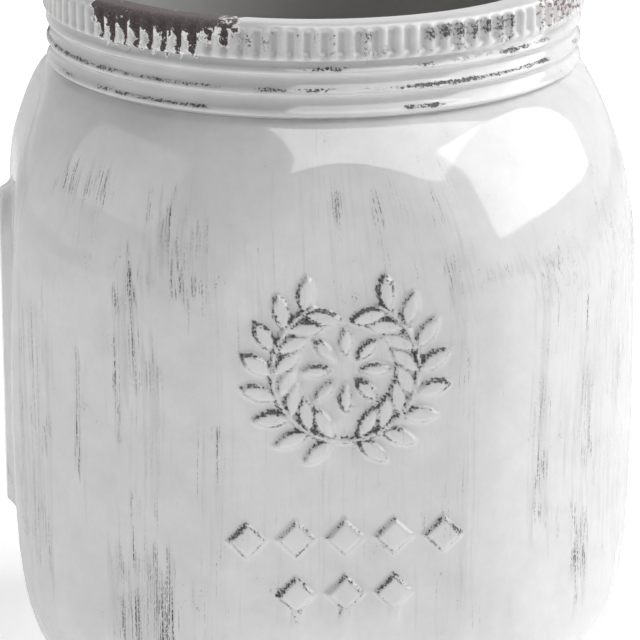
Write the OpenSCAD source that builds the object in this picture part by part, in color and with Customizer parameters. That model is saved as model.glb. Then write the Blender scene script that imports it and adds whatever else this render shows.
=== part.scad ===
// Jar lantern: a slip-cast ceramic jar with a battery candle standing on its floor.
// Millimetres, +Z up, origin on the ground at the middle of the base. The front panel faces -Y.

/* [Jar body] */
// Height of the ceramic jar, without its felt pads
jar_h = 180; // [170:1:200]
// Distance between two opposite flat sides of the body
jar_flats = 149; // [144:0.5:152]
// How far the rounded corners stand out beyond the flat sides' distance from the axis
corner_bulge = 6.5; // [5:0.5:9]
// Thickness of the ceramic wall
wall = 6; // [4:0.5:7]
// Thickness of the jar's floor
floor_t = 7; // [5:0.5:10]
// Height of the curved shoulder
shoulder_h = 44; // [36:1:50]
// Radius of the rounding between side and base
base_round = 36; // [32:1:38]
// Width of the foot ring that the jar stands on
foot_w = 11; // [10.5:0.5:14]
// Depth of the hollow inside the foot ring
foot_recess = 1.5; // [0.5:0.5:3]

/* [Neck] */
// Outer diameter of the neck over its rings
neck_d = 130; // [126:0.5:134]
// Inner diameter of the mouth
mouth_d = 114; // [108:0.5:116]
// Height of the neck above the shoulder
neck_h = 22.8; // [21:0.2:26]
// Number of rings round the neck
ring_count = 3; // [2:1:3]
// Distance from one ring to the next
ring_pitch = 4.9; // [3.6:0.1:5]
// Radius of a ring's round section
ring_r = 1.5; // [1:0.1:1.8]
// Distance from the lip down to the first ring
ring_drop = 11.4; // [10:0.1:12]
// Number of grip ribs round the lip
rib_count = 106; // [80:1:110]
// Radius of a grip rib's round section
rib_r = 1.2; // [0.8:0.05:1.3]
// Height of the ribbed band
rib_h = 6.8; // [5:0.1:7]
// Distance from the lip's top down to the ribs
rib_drop = 0.8; // [0.4:0.1:1.2]
// Rounding of the lip
lip_round = 2.4; // [1:0.1:3]

/* [Side grips] */
// Height of the raised grip pad on the left and right sides
grip_h = 82; // [60:1:90]
// Width of the grip pad
grip_w = 40; // [30:1:50]
// How far the grip pad stands out
grip_t = 3; // [1.5:0.5:4]
// Height of the grip pad's middle above the foot
grip_z = 86; // [80:1:90]

/* [Front relief] */
// How far the relief stands out of the front panel
relief_t = 1.2; // [0.6:0.1:2]
// Radius of the wreath's ring
wreath_r = 17; // [14:0.5:18]
// Width of the wreath's ring
wreath_w = 1.6; // [1.2:0.1:2.4]
// Height of the wreath's middle above the foot
wreath_z = 101; // [98:1:104]
// Leaves along each side of the wreath
leaf_count = 8; // [6:1:9]
// Length of a leaf
leaf_l = 9; // [7:0.5:10]
// Width of a leaf
leaf_w = 3.8; // [3:0.2:4.4]
// Points of the star inside the wreath
star_points = 8; // [6:1:10]
// Radius of the star
star_r = 9; // [7:0.5:10]
// Size of a lozenge from point to point
lozenge_l = 9; // [8:0.5:9.5]
// Distance from one lozenge to the next
lozenge_pitch = 11.5; // [11:0.5:12]
// Height of the upper row of lozenges above the foot
lozenge_z = 60; // [58:1:62]
// Distance between the two rows of lozenges
lozenge_row = 14; // [12:0.5:15]

/* [Felt pads] */
// Thickness of a felt pad
pad_t = 1.2; // [0.8:0.1:2]
// Radius of a felt pad
pad_r = 4.5; // [3:0.5:5]
// Number of felt pads
pad_count = 4; // [3:1:6]

/* [Candle shell] */
// Diameter of the candle
candle_d = 76; // [74:0.5:84]
// Height of the candle to its rim
candle_h = 96; // [94:1:104]
// Thickness of the candle's wall
shell_wall = 2.2; // [1.8:0.1:3]
// Depth of the melted hollow in the candle's top
dish_depth = 5; // [3:0.5:6]
// Thickness of the candle's top under the hollow
top_t = 2.4; // [2:0.1:3]
// Radius of the hole that the flame comes through
flame_hole_r = 6; // [5.5:0.1:7]
// Height of the posts that carry the circuit board
post_h = 8; // [7:0.5:9]
// Radius of the circuit board's posts
post_r = 2.6; // [2.2:0.1:3]
// Distance of each board post from the middle
post_x = 13; // [12:0.5:14]
// Height of the screw bosses at the shell's foot
boss_h = 12; // [11:0.5:14]
// Radius of the screw bosses
boss_r = 3.4; // [3:0.1:3.8]

/* [Flame and lamp] */
// Height of the flame above the hollow
flame_h = 19; // [15:0.5:22]
// Thickness of the flame's wall
flame_wall = 1.2; // [0.8:0.1:1.4]
// Thickness of the flange that holds the flame under the top
flame_flange_t = 1.2; // [0.8:0.1:1.6]
// Radius of the light-emitting diode
led_r = 2.5; // [1.5:0.1:2.5]
// Height of the diode from its rim to its dome's top
led_h = 7; // [5.5:0.1:8]
// Thickness of the diode's leads
lead_t = 0.5; // [0.4:0.05:0.6]
// Distance between the diode's leads
lead_pitch = 2.54; // [2:0.02:3]
// Height of the lamp holder
holder_h = 4; // [3:0.5:5]

/* [Circuit] */
// Length of the circuit board
board_l = 36; // [34:0.5:40]
// Width of the circuit board
board_w = 24; // [22:0.5:28]
// Thickness of the circuit board
board_t = 1.6; // [1:0.1:2]
// Length of the timer chip
chip_l = 5; // [4:0.1:6]
// Width of the timer chip
chip_w = 4; // [3.5:0.1:4.5]
// Length of the resistor's body
resistor_l = 6; // [4:0.1:7]
// Radius of the resistor's body
resistor_r = 1.1; // [0.8:0.05:1.4]
// Length of the timer crystal's can
crystal_l = 6; // [5:0.1:7]
// Radius of the timer crystal's can
crystal_r = 1; // [0.8:0.05:1.2]

/* [Candle base] */
// Thickness of the candle's base plate
base_t = 4.5; // [4.2:0.1:5.5]
// Height of the rubber feet under the candle
foot_t = 1.2; // [0.8:0.1:2]
// Radius of the rubber feet
foot_r = 3.2; // [2.5:0.1:3.6]
// Distance of the feet and screws from the candle's side
fixing_inset = 5; // [4.6:0.1:5.2]
// Wall of the battery housing
housing_wall = 1.6; // [1.2:0.1:2]
// Radius of the battery cover
cover_r = 20; // [19.5:0.1:21]
// Thickness of the battery cover
cover_t = 1.8; // [1.6:0.1:2]
// How far the cover turns to unlock
cover_turn = 25; // [22:1:40]

/* [Batteries and contacts] */
// Radius of a battery cell
cell_r = 7.15; // [6.9:0.05:7.25]
// Length of a battery cell without its button
cell_l = 49; // [48:0.1:49.2]
// Height of a battery cell's button
button_h = 1.4; // [1:0.1:1.6]
// Room above the cells for the spring
spring_h = 4.2; // [3:0.1:6]
// Radius of the spring's wire
spring_wire_r = 0.4; // [0.3:0.05:0.5]
// Turns of the spring
spring_turns = 3; // [2:0.5:3]
// Thickness of the contact metal
contact_t = 0.4; // [0.3:0.05:0.5]
// Radius of the lead wires
wire_r = 0.6; // [0.4:0.05:0.7]

/* [Switch] */
// Distance of the switch from the candle's side
switch_inset = 10; // [9.5:0.1:10.5]
// Length of the switch
switch_l = 8.6; // [8:0.1:9.5]
// Width of the switch
switch_w = 4; // [3.6:0.1:4.4]
// Height of the switch
switch_h = 3.6; // [3.2:0.1:4.5]
// Travel of the switch knob
switch_travel = 2; // [1:0.1:2.4]
// Width of the switch knob
knob_w = 1.9; // [1.6:0.1:2]

/* [Clearances] */
// Clearance round a battery cell
cell_gap = 0.25; // [0.15:0.05:0.4]
// Clearance round a piece that turns or slides
moving_gap = 0.2; // [0.15:0.05:0.3]
// Clearance round a piece that is fitted and stays
fitted_gap = 0.1; // [0.05:0.05:0.2]
// Clearance round a screw or a lead
thread_gap = 0.05; // [0.02:0.01:0.08]
// Gap between the end of a lead wire and what it is soldered to
solder_gap = 0.15; // [0.1:0.05:0.3]

/* [Hidden] */
$fn = 96;

// Jar: heights above the ground
flat_y = jar_flats / 2;
body_r = flat_y + corner_bulge;
neck_r = neck_d / 2;
mouth_r = mouth_d / 2;
foot_z = pad_t;
lip_z = foot_z + jar_h;
neck_z = lip_z - neck_h;
shoulder_z = neck_z - shoulder_h;
core_r = neck_r - ring_r;
band_r = neck_r - rib_r / 3;
floor_z = foot_z + floor_t;
foot_edge_r = body_r - base_round;
pad_ring_r = foot_edge_r - foot_w / 2;
arc_steps = 14;
wire_steps = 5;
// Direction that no wire runs in, from which the sides of the wires are turned
wire_turned_from = [0.31, 0.95, 0.05];

// Candle: heights above the ground
base_z = floor_z + foot_t;
base_top_z = base_z + base_t;
candle_r = candle_d / 2;
fixing_r = candle_r - fixing_inset;
switch_r = candle_r - switch_inset;
rim_z = floor_z + candle_h;
dish_z = rim_z - dish_depth;
top_z = dish_z - top_t;
board_z = top_z - post_h;
board_under_z = board_z - board_t;
board_screw_l = post_h - 1;
board_screw_r = 1.1;
board_screw_head_r = 2;
board_screw_head_h = 1.3;
base_screw_r = 1.25;
base_screw_head_r = 2.4;
base_screw_head_h = 2;
base_screw_z = base_z + base_screw_head_h + 0.2;
screw_gap = 0.2;
screw_slot_w = 0.6;
screw_angles = [90, 210, 330];
foot_angles = [30, 150, 270];

// Lamp
led_z = board_z + holder_h;
led_rim_r = led_r + 0.4;
led_rim_h = 1;
holder_r = led_rim_r + 1.2;
flame_r = flame_hole_r - fitted_gap;
flame_flange_r = flame_hole_r + 2;
flame_steps = 14;

// Battery compartment, from the cover up
recess_r = cover_r + moving_gap;
groove_r = cover_r + 2;
lug_angle = 16;
lug_h = 0.7;
cover_z = base_z + moving_gap;
cover_top_z = cover_z + cover_t;
lug_z = cover_top_z - lug_h;
bridge_top_z = cover_top_z + contact_t;
recess_top_z = bridge_top_z + moving_gap;
dimple_h = 0.8;
cell_z = bridge_top_z + dimple_h;
pocket_r = cell_r + cell_gap;
cell_x = pocket_r + housing_wall / 3;
cells_top_z = cell_z + cell_l + button_h;
ceiling_z = cells_top_z + spring_h;
housing_top_z = ceiling_z + housing_wall;
housing_r = pocket_r + housing_wall;
button_r = 2.7;
tail_w = 2;
tail_y = 4;
tail_h = 2.4;
disc_r = 5.4;
dimple_r = 2.4;
coin_slot_l = 18;
coin_slot_w = 1.8;

// Switch
switch_z = base_top_z;
knob_l = 2;
knob_z = base_z + 0.8;
knob_top_z = base_top_z + 1.4;
well_h = 1.5;
well_l = switch_l + 3;
well_w = switch_w + 2;
cradle_t = 1.2;
cradle_h = 2.6;
pin_h = 2.4;
pin_y = 2.5;
pin_t = 0.6;

// Timer parts on the circuit board
chip_y = 7.5;
chip_h = 1.5;
chip_lift = 0.1;
chip_pin_pitch = 1.27;
chip_pin_w = 0.4;
chip_pin_l = 0.9;
resistor_y = -8;
resistor_z = board_z + resistor_r + 0.4;
resistor_span = resistor_l / 2 + 1.5;
crystal_x = 8.5;
crystal_y = 8;
solder_l = 1;
lead_in = 1.6;

// Middles of the lead wires: tail or pin, the way up inside the shell, circuit board
tail_top_z = housing_top_z + tail_h;
pin_top_z = switch_z + switch_h + pin_h;
wire_battery_path = [
    [-switch_r, pin_y, pin_top_z + solder_gap], [-switch_r, pin_y, pin_top_z + lead_in],
    [3 - switch_r, 5, 24], [-21.5, 6, 52], [-17, 5, tail_top_z + 4],
    [-cell_x, tail_y, tail_top_z + lead_in], [-cell_x, tail_y, tail_top_z + solder_gap]
];
wire_switched_path = [
    [-switch_r, -pin_y, pin_top_z + solder_gap], [-switch_r, -pin_y, pin_top_z + lead_in],
    [3 - switch_r, -6, 24], [-22, -7, 60], [-15, -7, 73],
    [-10, -7, board_under_z - lead_in], [-10, -7, board_under_z - solder_gap]
];
wire_return_path = [
    [cell_x, tail_y, tail_top_z + solder_gap], [cell_x, tail_y, tail_top_z + lead_in],
    [12, 6, tail_top_z + 5],
    [10, 7, board_under_z - lead_in], [10, 7, board_under_z - solder_gap]
];

// Upright cylinder between two heights
module pillar(r, low, high) {
    translate([0, 0, low]) cylinder(r = r, h = high - low);
}

// Upright box between two heights, centred on the axis
module block(l, w, low, high) {
    translate([-l / 2, -w / 2, low]) cube([l, w, high - low]);
}

// The children at both sides of the middle
module both_sides(x) {
    for (side = [-1, 1]) translate([side * x, 0, 0]) children();
}

// The children at a fixing radius, once for each angle
module around(angles, r) {
    for (a = angles) rotate(a) translate([r, 0, 0]) children();
}

function arc_points(cx, cz, rx, rz, from, to) = [
    for (i = [0:arc_steps])
        let (t = from + (to - from) * i / arc_steps)
            [cx + rx * cos(t), cz + rz * sin(t)]
];

// Half section of the jar's body, inset by the wall for its hollow
module body_section(inset, bottom, side_top, neck_radius, top) {
    r = body_r - inset;
    rounding = base_round - inset;
    polygon(concat(
        [[0, bottom]],
        arc_points(r - rounding, bottom + rounding, rounding, rounding, -90, 0),
        arc_points(neck_radius, side_top, r - neck_radius, top - side_top, 0, 90),
        [[0, top]]
    ));
}

module body_form(inset, bottom, neck_radius, top) {
    half = flat_y - inset;
    intersection() {
        rotate_extrude() body_section(inset, bottom, shoulder_z, neck_radius, top);
        translate([-half, -half, 0]) cube([2 * half, 2 * half, lip_z]);
    }
}

module neck_ring(z) {
    translate([0, 0, z]) rotate_extrude() translate([core_r, 0]) circle(ring_r);
}

// Collar of the neck, with its lip rounded on the outside
module collar() {
    band_h = rib_drop + rib_h + 0.6;
    rotate_extrude() {
        translate([0, neck_z - 1]) square([core_r, neck_h + 1 - lip_round]);
        translate([0, lip_z - band_h]) square([band_r, band_h - lip_round]);
        translate([0, lip_z - 2 * lip_round]) square([band_r - lip_round, 2 * lip_round]);
        translate([band_r - lip_round, lip_z - lip_round]) circle(lip_round);
    }
}

// Mouth through the neck, rounded where it meets the lip
module mouth() {
    translate([0, 0, neck_z - wall - 1]) cylinder(r = mouth_r, h = neck_h + wall + 2);
    rotate_extrude() difference() {
        translate([mouth_r - 1, lip_z - lip_round]) square(1 + lip_round);
        translate([mouth_r + lip_round, lip_z - lip_round]) circle(lip_round);
    }
}

module ribs() {
    translate([0, 0, lip_z - rib_drop - rib_h]) linear_extrude(rib_h) for (i = [0:rib_count - 1])
        rotate(i * 360 / rib_count) translate([band_r, 0]) circle(rib_r, $fn = 24);
}

module leaf() {
    bow_r = (leaf_l * leaf_l + leaf_w * leaf_w) / (4 * leaf_w);
    intersection() {
        translate([0, bow_r - leaf_w / 2]) circle(bow_r);
        translate([0, leaf_w / 2 - bow_r]) circle(bow_r);
    }
}

module wreath() {
    gap_angle = 50;
    step = (360 - gap_angle) / 2 / leaf_count;
    difference() {
        circle(wreath_r + wreath_w / 2);
        circle(wreath_r - wreath_w / 2);
        polygon([[0, 0], for (a = [-gap_angle / 2, gap_angle / 2]) 2 * wreath_r * [sin(a), cos(a)]]);
    }
    for (side = [-1, 1]) for (i = [0.5:leaf_count])
        rotate(side * i * step - 90) translate([wreath_r, 0])
            for (tilt = [40, 140]) rotate(side * tilt) translate([leaf_l / 2, 0]) leaf();
}

module star() {
    for (i = [0:star_points - 1])
        rotate(i * 360 / star_points) translate([star_r / 2 + 1, 0]) scale(0.8) leaf();
}

module lozenge() {
    rotate(45) square(lozenge_l / sqrt(2), center = true);
}

// Relief on the front panel, drawn flat and stood up against it
module front_relief() {
    translate([0, 1 - flat_y, foot_z]) rotate([90, 0, 0]) linear_extrude(1 + relief_t) {
        translate([0, wreath_z]) wreath();
        translate([0, wreath_z]) star();
        for (i = [-2:2]) translate([i * lozenge_pitch, lozenge_z]) lozenge();
        for (i = [-1:1]) translate([i * lozenge_pitch, lozenge_z - lozenge_row]) lozenge();
    }
}

module side_grip(side) {
    straight = grip_h - grip_w;
    translate([side * (flat_y - 1), 0, foot_z + grip_z]) rotate([0, side * 90, 0])
        linear_extrude(1 + grip_t) {
            square([straight, grip_w], center = true);
            for (end = [-1, 1]) translate([end * straight / 2, 0]) circle(grip_w / 2);
        }
}

module ceramic_jar() {
    color("whitesmoke") difference() {
        union() {
            body_form(0, foot_z, neck_r - ring_r, neck_z);
            collar();
            ribs();
            for (i = [0:ring_count - 1]) neck_ring(lip_z - ring_drop - i * ring_pitch);
            for (side = [-1, 1]) side_grip(side);
            front_relief();
        }
        body_form(wall, floor_z, mouth_r, neck_z - wall);
        mouth();
        translate([0, 0, foot_z - 1]) cylinder(r = foot_edge_r - foot_w, h = 1 + foot_recess);
    }
}

module felt_pads() {
    pad_angles = [for (i = [0:pad_count - 1]) 45 + i * 360 / pad_count];
    color("dimgray") around(pad_angles, pad_ring_r) pillar(pad_r, 0, pad_t);
}

module candle_shell() {
    dish_r = candle_r - 3;
    dish_ball_r = (dish_r * dish_r + dish_depth * dish_depth) / (2 * dish_depth);
    color("ivory") difference() {
        union() {
            difference() {
                pillar(candle_r, base_top_z, rim_z);
                pillar(candle_r - shell_wall, base_top_z - 1, top_z);
            }
            both_sides(post_x) pillar(post_r, board_z, top_z + 1);
            intersection() {
                around(screw_angles, fixing_r) pillar(boss_r, base_top_z, base_top_z + boss_h);
                pillar(candle_r - 1, base_top_z, rim_z);
            }
        }
        translate([0, 0, dish_z + dish_ball_r]) sphere(dish_ball_r);
        pillar(flame_hole_r, top_z - 1, rim_z + 1);
        both_sides(post_x) pillar(board_screw_r + thread_gap, board_z - 1, top_z - 0.5);
        around(screw_angles, fixing_r)
            pillar(base_screw_r + thread_gap, base_top_z - 1, base_top_z + boss_h - 1);
    }
}

// Radius of the flame at a share t of its height
function flame_radius(t) = flame_r * pow(1 - t, 0.75) * (1 + 0.9 * t);

module flame_lens() {
    hollow_top = 0.8;
    color("moccasin") rotate_extrude() polygon(concat(
        [[flame_r - flame_wall, top_z - flame_flange_t], [flame_flange_r, top_z - flame_flange_t],
         [flame_flange_r, top_z], [flame_r, top_z]],
        [for (i = [0:flame_steps]) [flame_radius(i / flame_steps), dish_z + flame_h * i / flame_steps]],
        [for (i = [flame_steps:-1:0]) let (t = hollow_top * i / flame_steps)
            [i == flame_steps ? 0 : flame_radius(t) - flame_wall, dish_z + flame_h * t]]
    ));
}

module led_lamp() {
    dome_z = led_z + led_h - led_r;
    color("lightyellow") {
        pillar(led_rim_r, led_z, led_z + led_rim_h);
        pillar(led_r, led_z, dome_z);
        translate([0, 0, dome_z]) sphere(led_r);
        both_sides(lead_pitch / 2) block(lead_t, lead_t, board_under_z - solder_l, led_z + 0.5);
    }
}

// Square holes for the diode's leads
module lead_holes(low, high) {
    hole = lead_t + 2 * thread_gap;
    both_sides(lead_pitch / 2) block(hole, hole, low, high);
}

module lamp_holder() {
    color("white") difference() {
        pillar(holder_r, board_z, led_z);
        lead_holes(board_z - 1, led_z + 1);
    }
}

module circuit_board() {
    color("seagreen") difference() {
        block(board_l, board_w, board_under_z, board_z);
        lead_holes(board_under_z - 1, board_z + 1);
        both_sides(post_x) pillar(board_screw_r + thread_gap, board_under_z - 1, board_z + 1);
        translate([0, resistor_y, 0]) both_sides(resistor_span)
            pillar(lead_t / 2 + thread_gap, board_under_z - 1, board_z + 1);
    }
}

// Pan-head screw with its head's underside at height z, and a straight driver slot
module screw(z, r, l, head_r, head_h) {
    difference() {
        union() {
            pillar(head_r, z - head_h, z);
            pillar(r, z - head_h, z + l);
        }
        block(2 * head_r + 2, screw_slot_w, z - head_h - 1, z - head_h / 2);
    }
}

module board_screws() {
    color("silver") both_sides(post_x)
        screw(board_under_z, board_screw_r, board_t + board_screw_l, board_screw_head_r, board_screw_head_h);
}

module timer_chip() {
    color("darkslategray") translate([0, chip_y, 0]) {
        block(chip_l, chip_w, board_z + chip_lift, board_z + chip_lift + chip_h);
        for (i = [-1.5:1.5]) translate([i * chip_pin_pitch, 0, 0])
            block(chip_pin_w, chip_w + 2 * chip_pin_l, board_z, board_z + 3 * chip_lift);
    }
}

module resistor() {
    color("burlywood") translate([0, resistor_y, 0]) {
        translate([0, 0, resistor_z]) rotate([0, 90, 0]) {
            cylinder(r = resistor_r, h = resistor_l, center = true);
            cylinder(r = lead_t / 2, h = 2 * resistor_span, center = true);
        }
        both_sides(resistor_span) {
            translate([0, 0, resistor_z]) sphere(lead_t / 2);
            pillar(lead_t / 2, board_under_z - solder_l, resistor_z);
        }
    }
}

module timer_crystal() {
    color("silver") translate([crystal_x, crystal_y, board_z + crystal_r]) rotate([0, 90, 0])
        cylinder(r = crystal_r, h = crystal_l);
}

module housing_outline(r) {
    both_sides(cell_x) circle(r);
    square([2 * cell_x, 2 * r], center = true);
}

// Part of a ring between two heights, from an angle on
module ring_part(start, angle, from_r, to_r, low, high) {
    rotate(start) translate([0, 0, low]) rotate_extrude(angle = angle)
        translate([from_r, 0]) square([to_r - from_r, high - low]);
}

// Ring groove for the cover's lugs, with the two notches that they enter through
module cover_groove() {
    reach_r = groove_r + moving_gap;
    pillar(reach_r, lug_z - moving_gap, cover_top_z + moving_gap);
    for (side = [0, 180])
        ring_part(side + cover_turn, lug_angle + 2, cover_r - 1, reach_r, base_z - 1, lug_z);
}

// Slots through the ceiling for the contacts' tails
module tail_slots() {
    translate([0, tail_y, 0]) both_sides(cell_x)
        block(tail_w + 2 * fitted_gap, contact_t + 2 * fitted_gap, ceiling_z - 1, housing_top_z + 1);
}

// Slot that the switch knob slides in
module knob_slot(low, high) {
    block(knob_w + 2 * moving_gap, knob_l + switch_travel + 2 * moving_gap, low, high);
}

// Well in the base for a fingertip, with the knob's slot through it
module switch_well() {
    translate([-switch_r, 0, 0]) {
        block(well_w, well_l, base_z - 1, base_z + well_h);
        knob_slot(base_z - 1, base_top_z + 1);
    }
}

module candle_base() {
    cradle_y = (switch_l + cradle_t) / 2;
    color("ghostwhite") difference() {
        union() {
            pillar(candle_r, base_z, base_top_z);
            translate([0, 0, base_z]) linear_extrude(housing_top_z - base_z) housing_outline(housing_r);
            for (y = [-cradle_y, cradle_y]) translate([-switch_r, y, 0])
                block(switch_w, cradle_t, base_top_z - 0.5, base_top_z + cradle_h);
        }
        pillar(recess_r, base_z - 1, recess_top_z);
        cover_groove();
        both_sides(cell_x) pillar(pocket_r, base_z, ceiling_z);
        tail_slots();
        around(screw_angles, fixing_r) {
            pillar(base_screw_r + screw_gap, base_z - 1, base_top_z + 1);
            pillar(base_screw_head_r + screw_gap, base_z - 1, base_screw_z);
        }
        switch_well();
    }
}

module base_screws() {
    base_screw_l = base_top_z + boss_h - 2 - base_screw_z;
    color("silver") around(screw_angles, fixing_r)
        screw(base_screw_z, base_screw_r, base_screw_l, base_screw_head_r, base_screw_head_h);
}

module candle_feet() {
    color("black") around(foot_angles, fixing_r) pillar(foot_r, floor_z, base_z);
}

// Battery cell with its button up or down
module cell(button_up) {
    can_z = cell_z + (button_up ? 0 : button_h);
    button_z = button_up ? can_z + cell_l - 1 : cell_z;
    pillar(cell_r, can_z, can_z + cell_l);
    pillar(button_r, button_z, button_z + button_h + 1);
}

module battery_cells() {
    color("darkorange") {
        translate([-cell_x, 0, 0]) cell(true);
        translate([cell_x, 0, 0]) cell(false);
    }
}

module battery_cover() {
    color("ghostwhite") difference() {
        union() {
            pillar(cover_r, cover_z, cover_top_z);
            for (side = [0, 180]) ring_part(side + 1, lug_angle, cover_r - 2, groove_r, lug_z, cover_top_z);
        }
        block(coin_slot_l, coin_slot_w, cover_z - 1, cover_z + cover_t / 2);
    }
}

module contact_bridge() {
    color("lightgray") {
        translate([0, 0, cover_top_z]) linear_extrude(contact_t) {
            square([2 * cell_x, 2 * disc_r - 2], center = true);
            both_sides(cell_x) circle(disc_r - 1);
        }
        both_sides(cell_x) pillar(dimple_r, cover_top_z, cell_z);
    }
}

// Round contact under the housing's ceiling, with a tail through it for the wire
module contact_disc() {
    pillar(disc_r, ceiling_z - contact_t, ceiling_z);
    translate([0, tail_y, 0]) block(tail_w, contact_t, ceiling_z - contact_t, tail_top_z);
}

// Tube along a list of points, with its sides turned from a direction that it never runs in
module tube(points, r, sides, turned_from) {
    n = len(points);
    function along(i) = let (d = points[min(i + 1, n - 1)] - points[max(i - 1, 0)]) d / norm(d);
    function across(i) = let (c = cross(along(i), turned_from)) c / norm(c);
    rings = [
        for (i = [0:n - 1], k = [0:sides - 1])
            let (a = 360 * k / sides)
                points[i] + r * (cos(a) * across(i) + sin(a) * cross(across(i), along(i)))
    ];
    walls = [
        for (i = [0:n - 2], k = [0:sides - 1])
            let (a = i * sides + k, b = i * sides + (k + 1) % sides) [a, b, b + sides, a + sides]
    ];
    ends = [[for (k = [sides - 1:-1:0]) k], [for (k = [0:sides - 1]) (n - 1) * sides + k]];
    polyhedron(rings, concat(walls, ends));
}

// Conical coil that narrows downwards
module spring_coil(bottom_r, top_r, h) {
    steps = spring_turns * 20;
    tube([
        for (i = [0:steps])
            let (t = i / steps, a = 360 * spring_turns * t, r = bottom_r + (top_r - bottom_r) * t)
                [r * cos(a), r * sin(a), spring_wire_r + (h - 2 * spring_wire_r) * t]
    ], spring_wire_r, 10, [0, 0, 1]);
}

module contact_spring() {
    color("silver") translate([cell_x, 0, 0]) union() {
        contact_disc();
        translate([0, 0, cells_top_z]) spring_coil(dimple_r, disc_r - 1.2, spring_h - contact_t / 2);
    }
}

module contact_button() {
    color("silver") translate([-cell_x, 0, 0]) {
        contact_disc();
        pillar(dimple_r, cells_top_z, ceiling_z);
    }
}

// Point at a share t of the way from path[i] to the next, on a smooth curve through them all
function curve_point(path, i, t) =
    let (n = len(path), p = [for (k = [-1:2]) path[min(max(i + k, 0), n - 1)]])
        0.5 * (2 * p[1] + (p[2] - p[0]) * t + (2 * p[0] - 5 * p[1] + 4 * p[2] - p[3]) * t * t
            + (3 * p[1] - p[0] - 3 * p[2] + p[3]) * t * t * t);

module wire(path) {
    tube(concat(
        [for (i = [0:len(path) - 2], k = [0:wire_steps - 1]) curve_point(path, i, k / wire_steps)],
        [path[len(path) - 1]]
    ), wire_r, 8, wire_turned_from);
}

module wire_battery() {
    color("firebrick") wire(wire_battery_path);
}

module wire_switched() {
    color("firebrick") wire(wire_switched_path);
}

module wire_return() {
    color("black") wire(wire_return_path);
}

module switch_body() {
    color("silver") translate([-switch_r, 0, 0]) difference() {
        union() {
            block(switch_w, switch_l, switch_z, switch_z + switch_h);
            for (y = [-pin_y, 0, pin_y]) translate([0, y, 0])
                block(pin_t, pin_t, switch_z + switch_h - 0.5, pin_top_z);
        }
        knob_slot(switch_z - 1, knob_top_z + moving_gap);
    }
}

module switch_knob() {
    color("dimgray") translate([-switch_r, -switch_travel / 2, 0]) block(knob_w, knob_l, knob_z, knob_top_z);
}

ceramic_jar();
felt_pads();
candle_shell();
flame_lens();
led_lamp();
lamp_holder();
circuit_board();
board_screws();
timer_chip();
resistor();
timer_crystal();
candle_base();
base_screws();
candle_feet();
battery_cells();
battery_cover();
contact_bridge();
contact_spring();
contact_button();
wire_battery();
wire_switched();
wire_return();
switch_body();
switch_knob();
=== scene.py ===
"""Jar lantern: a distressed white ceramic jar with a battery candle standing on its floor."""
import math

import bpy
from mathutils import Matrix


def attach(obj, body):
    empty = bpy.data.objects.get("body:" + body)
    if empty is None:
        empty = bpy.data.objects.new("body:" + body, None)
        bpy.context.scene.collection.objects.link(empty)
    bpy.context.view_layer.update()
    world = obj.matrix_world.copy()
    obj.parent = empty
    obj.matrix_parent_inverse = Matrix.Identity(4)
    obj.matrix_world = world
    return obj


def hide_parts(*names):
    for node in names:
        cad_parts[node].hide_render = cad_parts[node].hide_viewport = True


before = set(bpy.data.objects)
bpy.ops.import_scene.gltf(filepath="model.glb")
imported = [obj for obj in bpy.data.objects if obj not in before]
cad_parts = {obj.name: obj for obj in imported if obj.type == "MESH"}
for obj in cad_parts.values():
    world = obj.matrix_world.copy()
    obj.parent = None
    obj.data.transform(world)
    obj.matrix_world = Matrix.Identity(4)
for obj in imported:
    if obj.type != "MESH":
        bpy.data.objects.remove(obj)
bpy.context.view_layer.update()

bl_info = {
    "name": "Jar Lantern",
    "version": (1, 0, 0),
    "blender": (4, 5, 0),
    "location": "View3D > Sidebar > Jar Lantern",
    "description": "Builds a distressed white jar lantern with its battery candle",
    "category": "Object",
}

MM = 0.001
KINDS = ("VERT", "EDGE", "FACE")
MARKS = ("wear", "edge", "chip", "speck", "flute", "inside")    # Painted on the jar's vertices
WHITE = (1, 1, 1, 1)
RIBS = 106
RINGS = 3
LEAF_PAIRS = 8              # On each half of the wreath
STAR_POINTS = 8
SHOULDER = 1.65             # 2 makes the shoulder's curve an ellipse, and less makes it flatter
BASE_TURN_IN = 29 * MM      # How far a flat side turns in at the foot
BOW_Z = 78 * MM             # Middle of the bow of the left and right sides
BOW_HALF = 42 * MM          # Half the height of that bow
LEAN_Z = 118 * MM           # Above it the left and right sides lean in
ARCH_Z = 104 * MM           # Height where the arch of a flat panel starts
RELIEF_HALF = 29 * MM       # Half the width of the front ornament, with a margin
ON_SURFACE = 0.15 * MM      # A vertex as near as this lies on a pressed side
# A ring's section below and above its crest: share of its height, and millimetres up
RING = ((0.0, -1.3), (0.12, -1.1), (0.42, -0.8), (0.78, -0.5), (0.96, -0.22), (1.0, 0.05),
        (0.95, 0.35), (0.8, 0.7), (0.58, 1.1), (0.36, 1.6), (0.18, 2.2), (0.06, 2.9))


# Sizes and colours

def millimetres(name, about, size):
    return bpy.props.FloatProperty(name=name, description=about, default=size * MM, min=0,
                                   unit="LENGTH")


def colour(name, about, code):
    return bpy.props.FloatVectorProperty(name=name, description=about, subtype="COLOR", size=3,
                                         min=0, max=1, default=linear(code))


def light_level(name, about, strength):
    return bpy.props.FloatProperty(name=name, description=about, default=strength, min=0)


def linear(code):
    """Linear red, green and blue of an sRGB hex code."""
    parts = [int(code[i:i + 2], 16) / 255 for i in (0, 2, 4)]
    return tuple(p / 12.92 if p <= 0.04045 else ((p + 0.055) / 1.055) ** 2.4 for p in parts)


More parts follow.
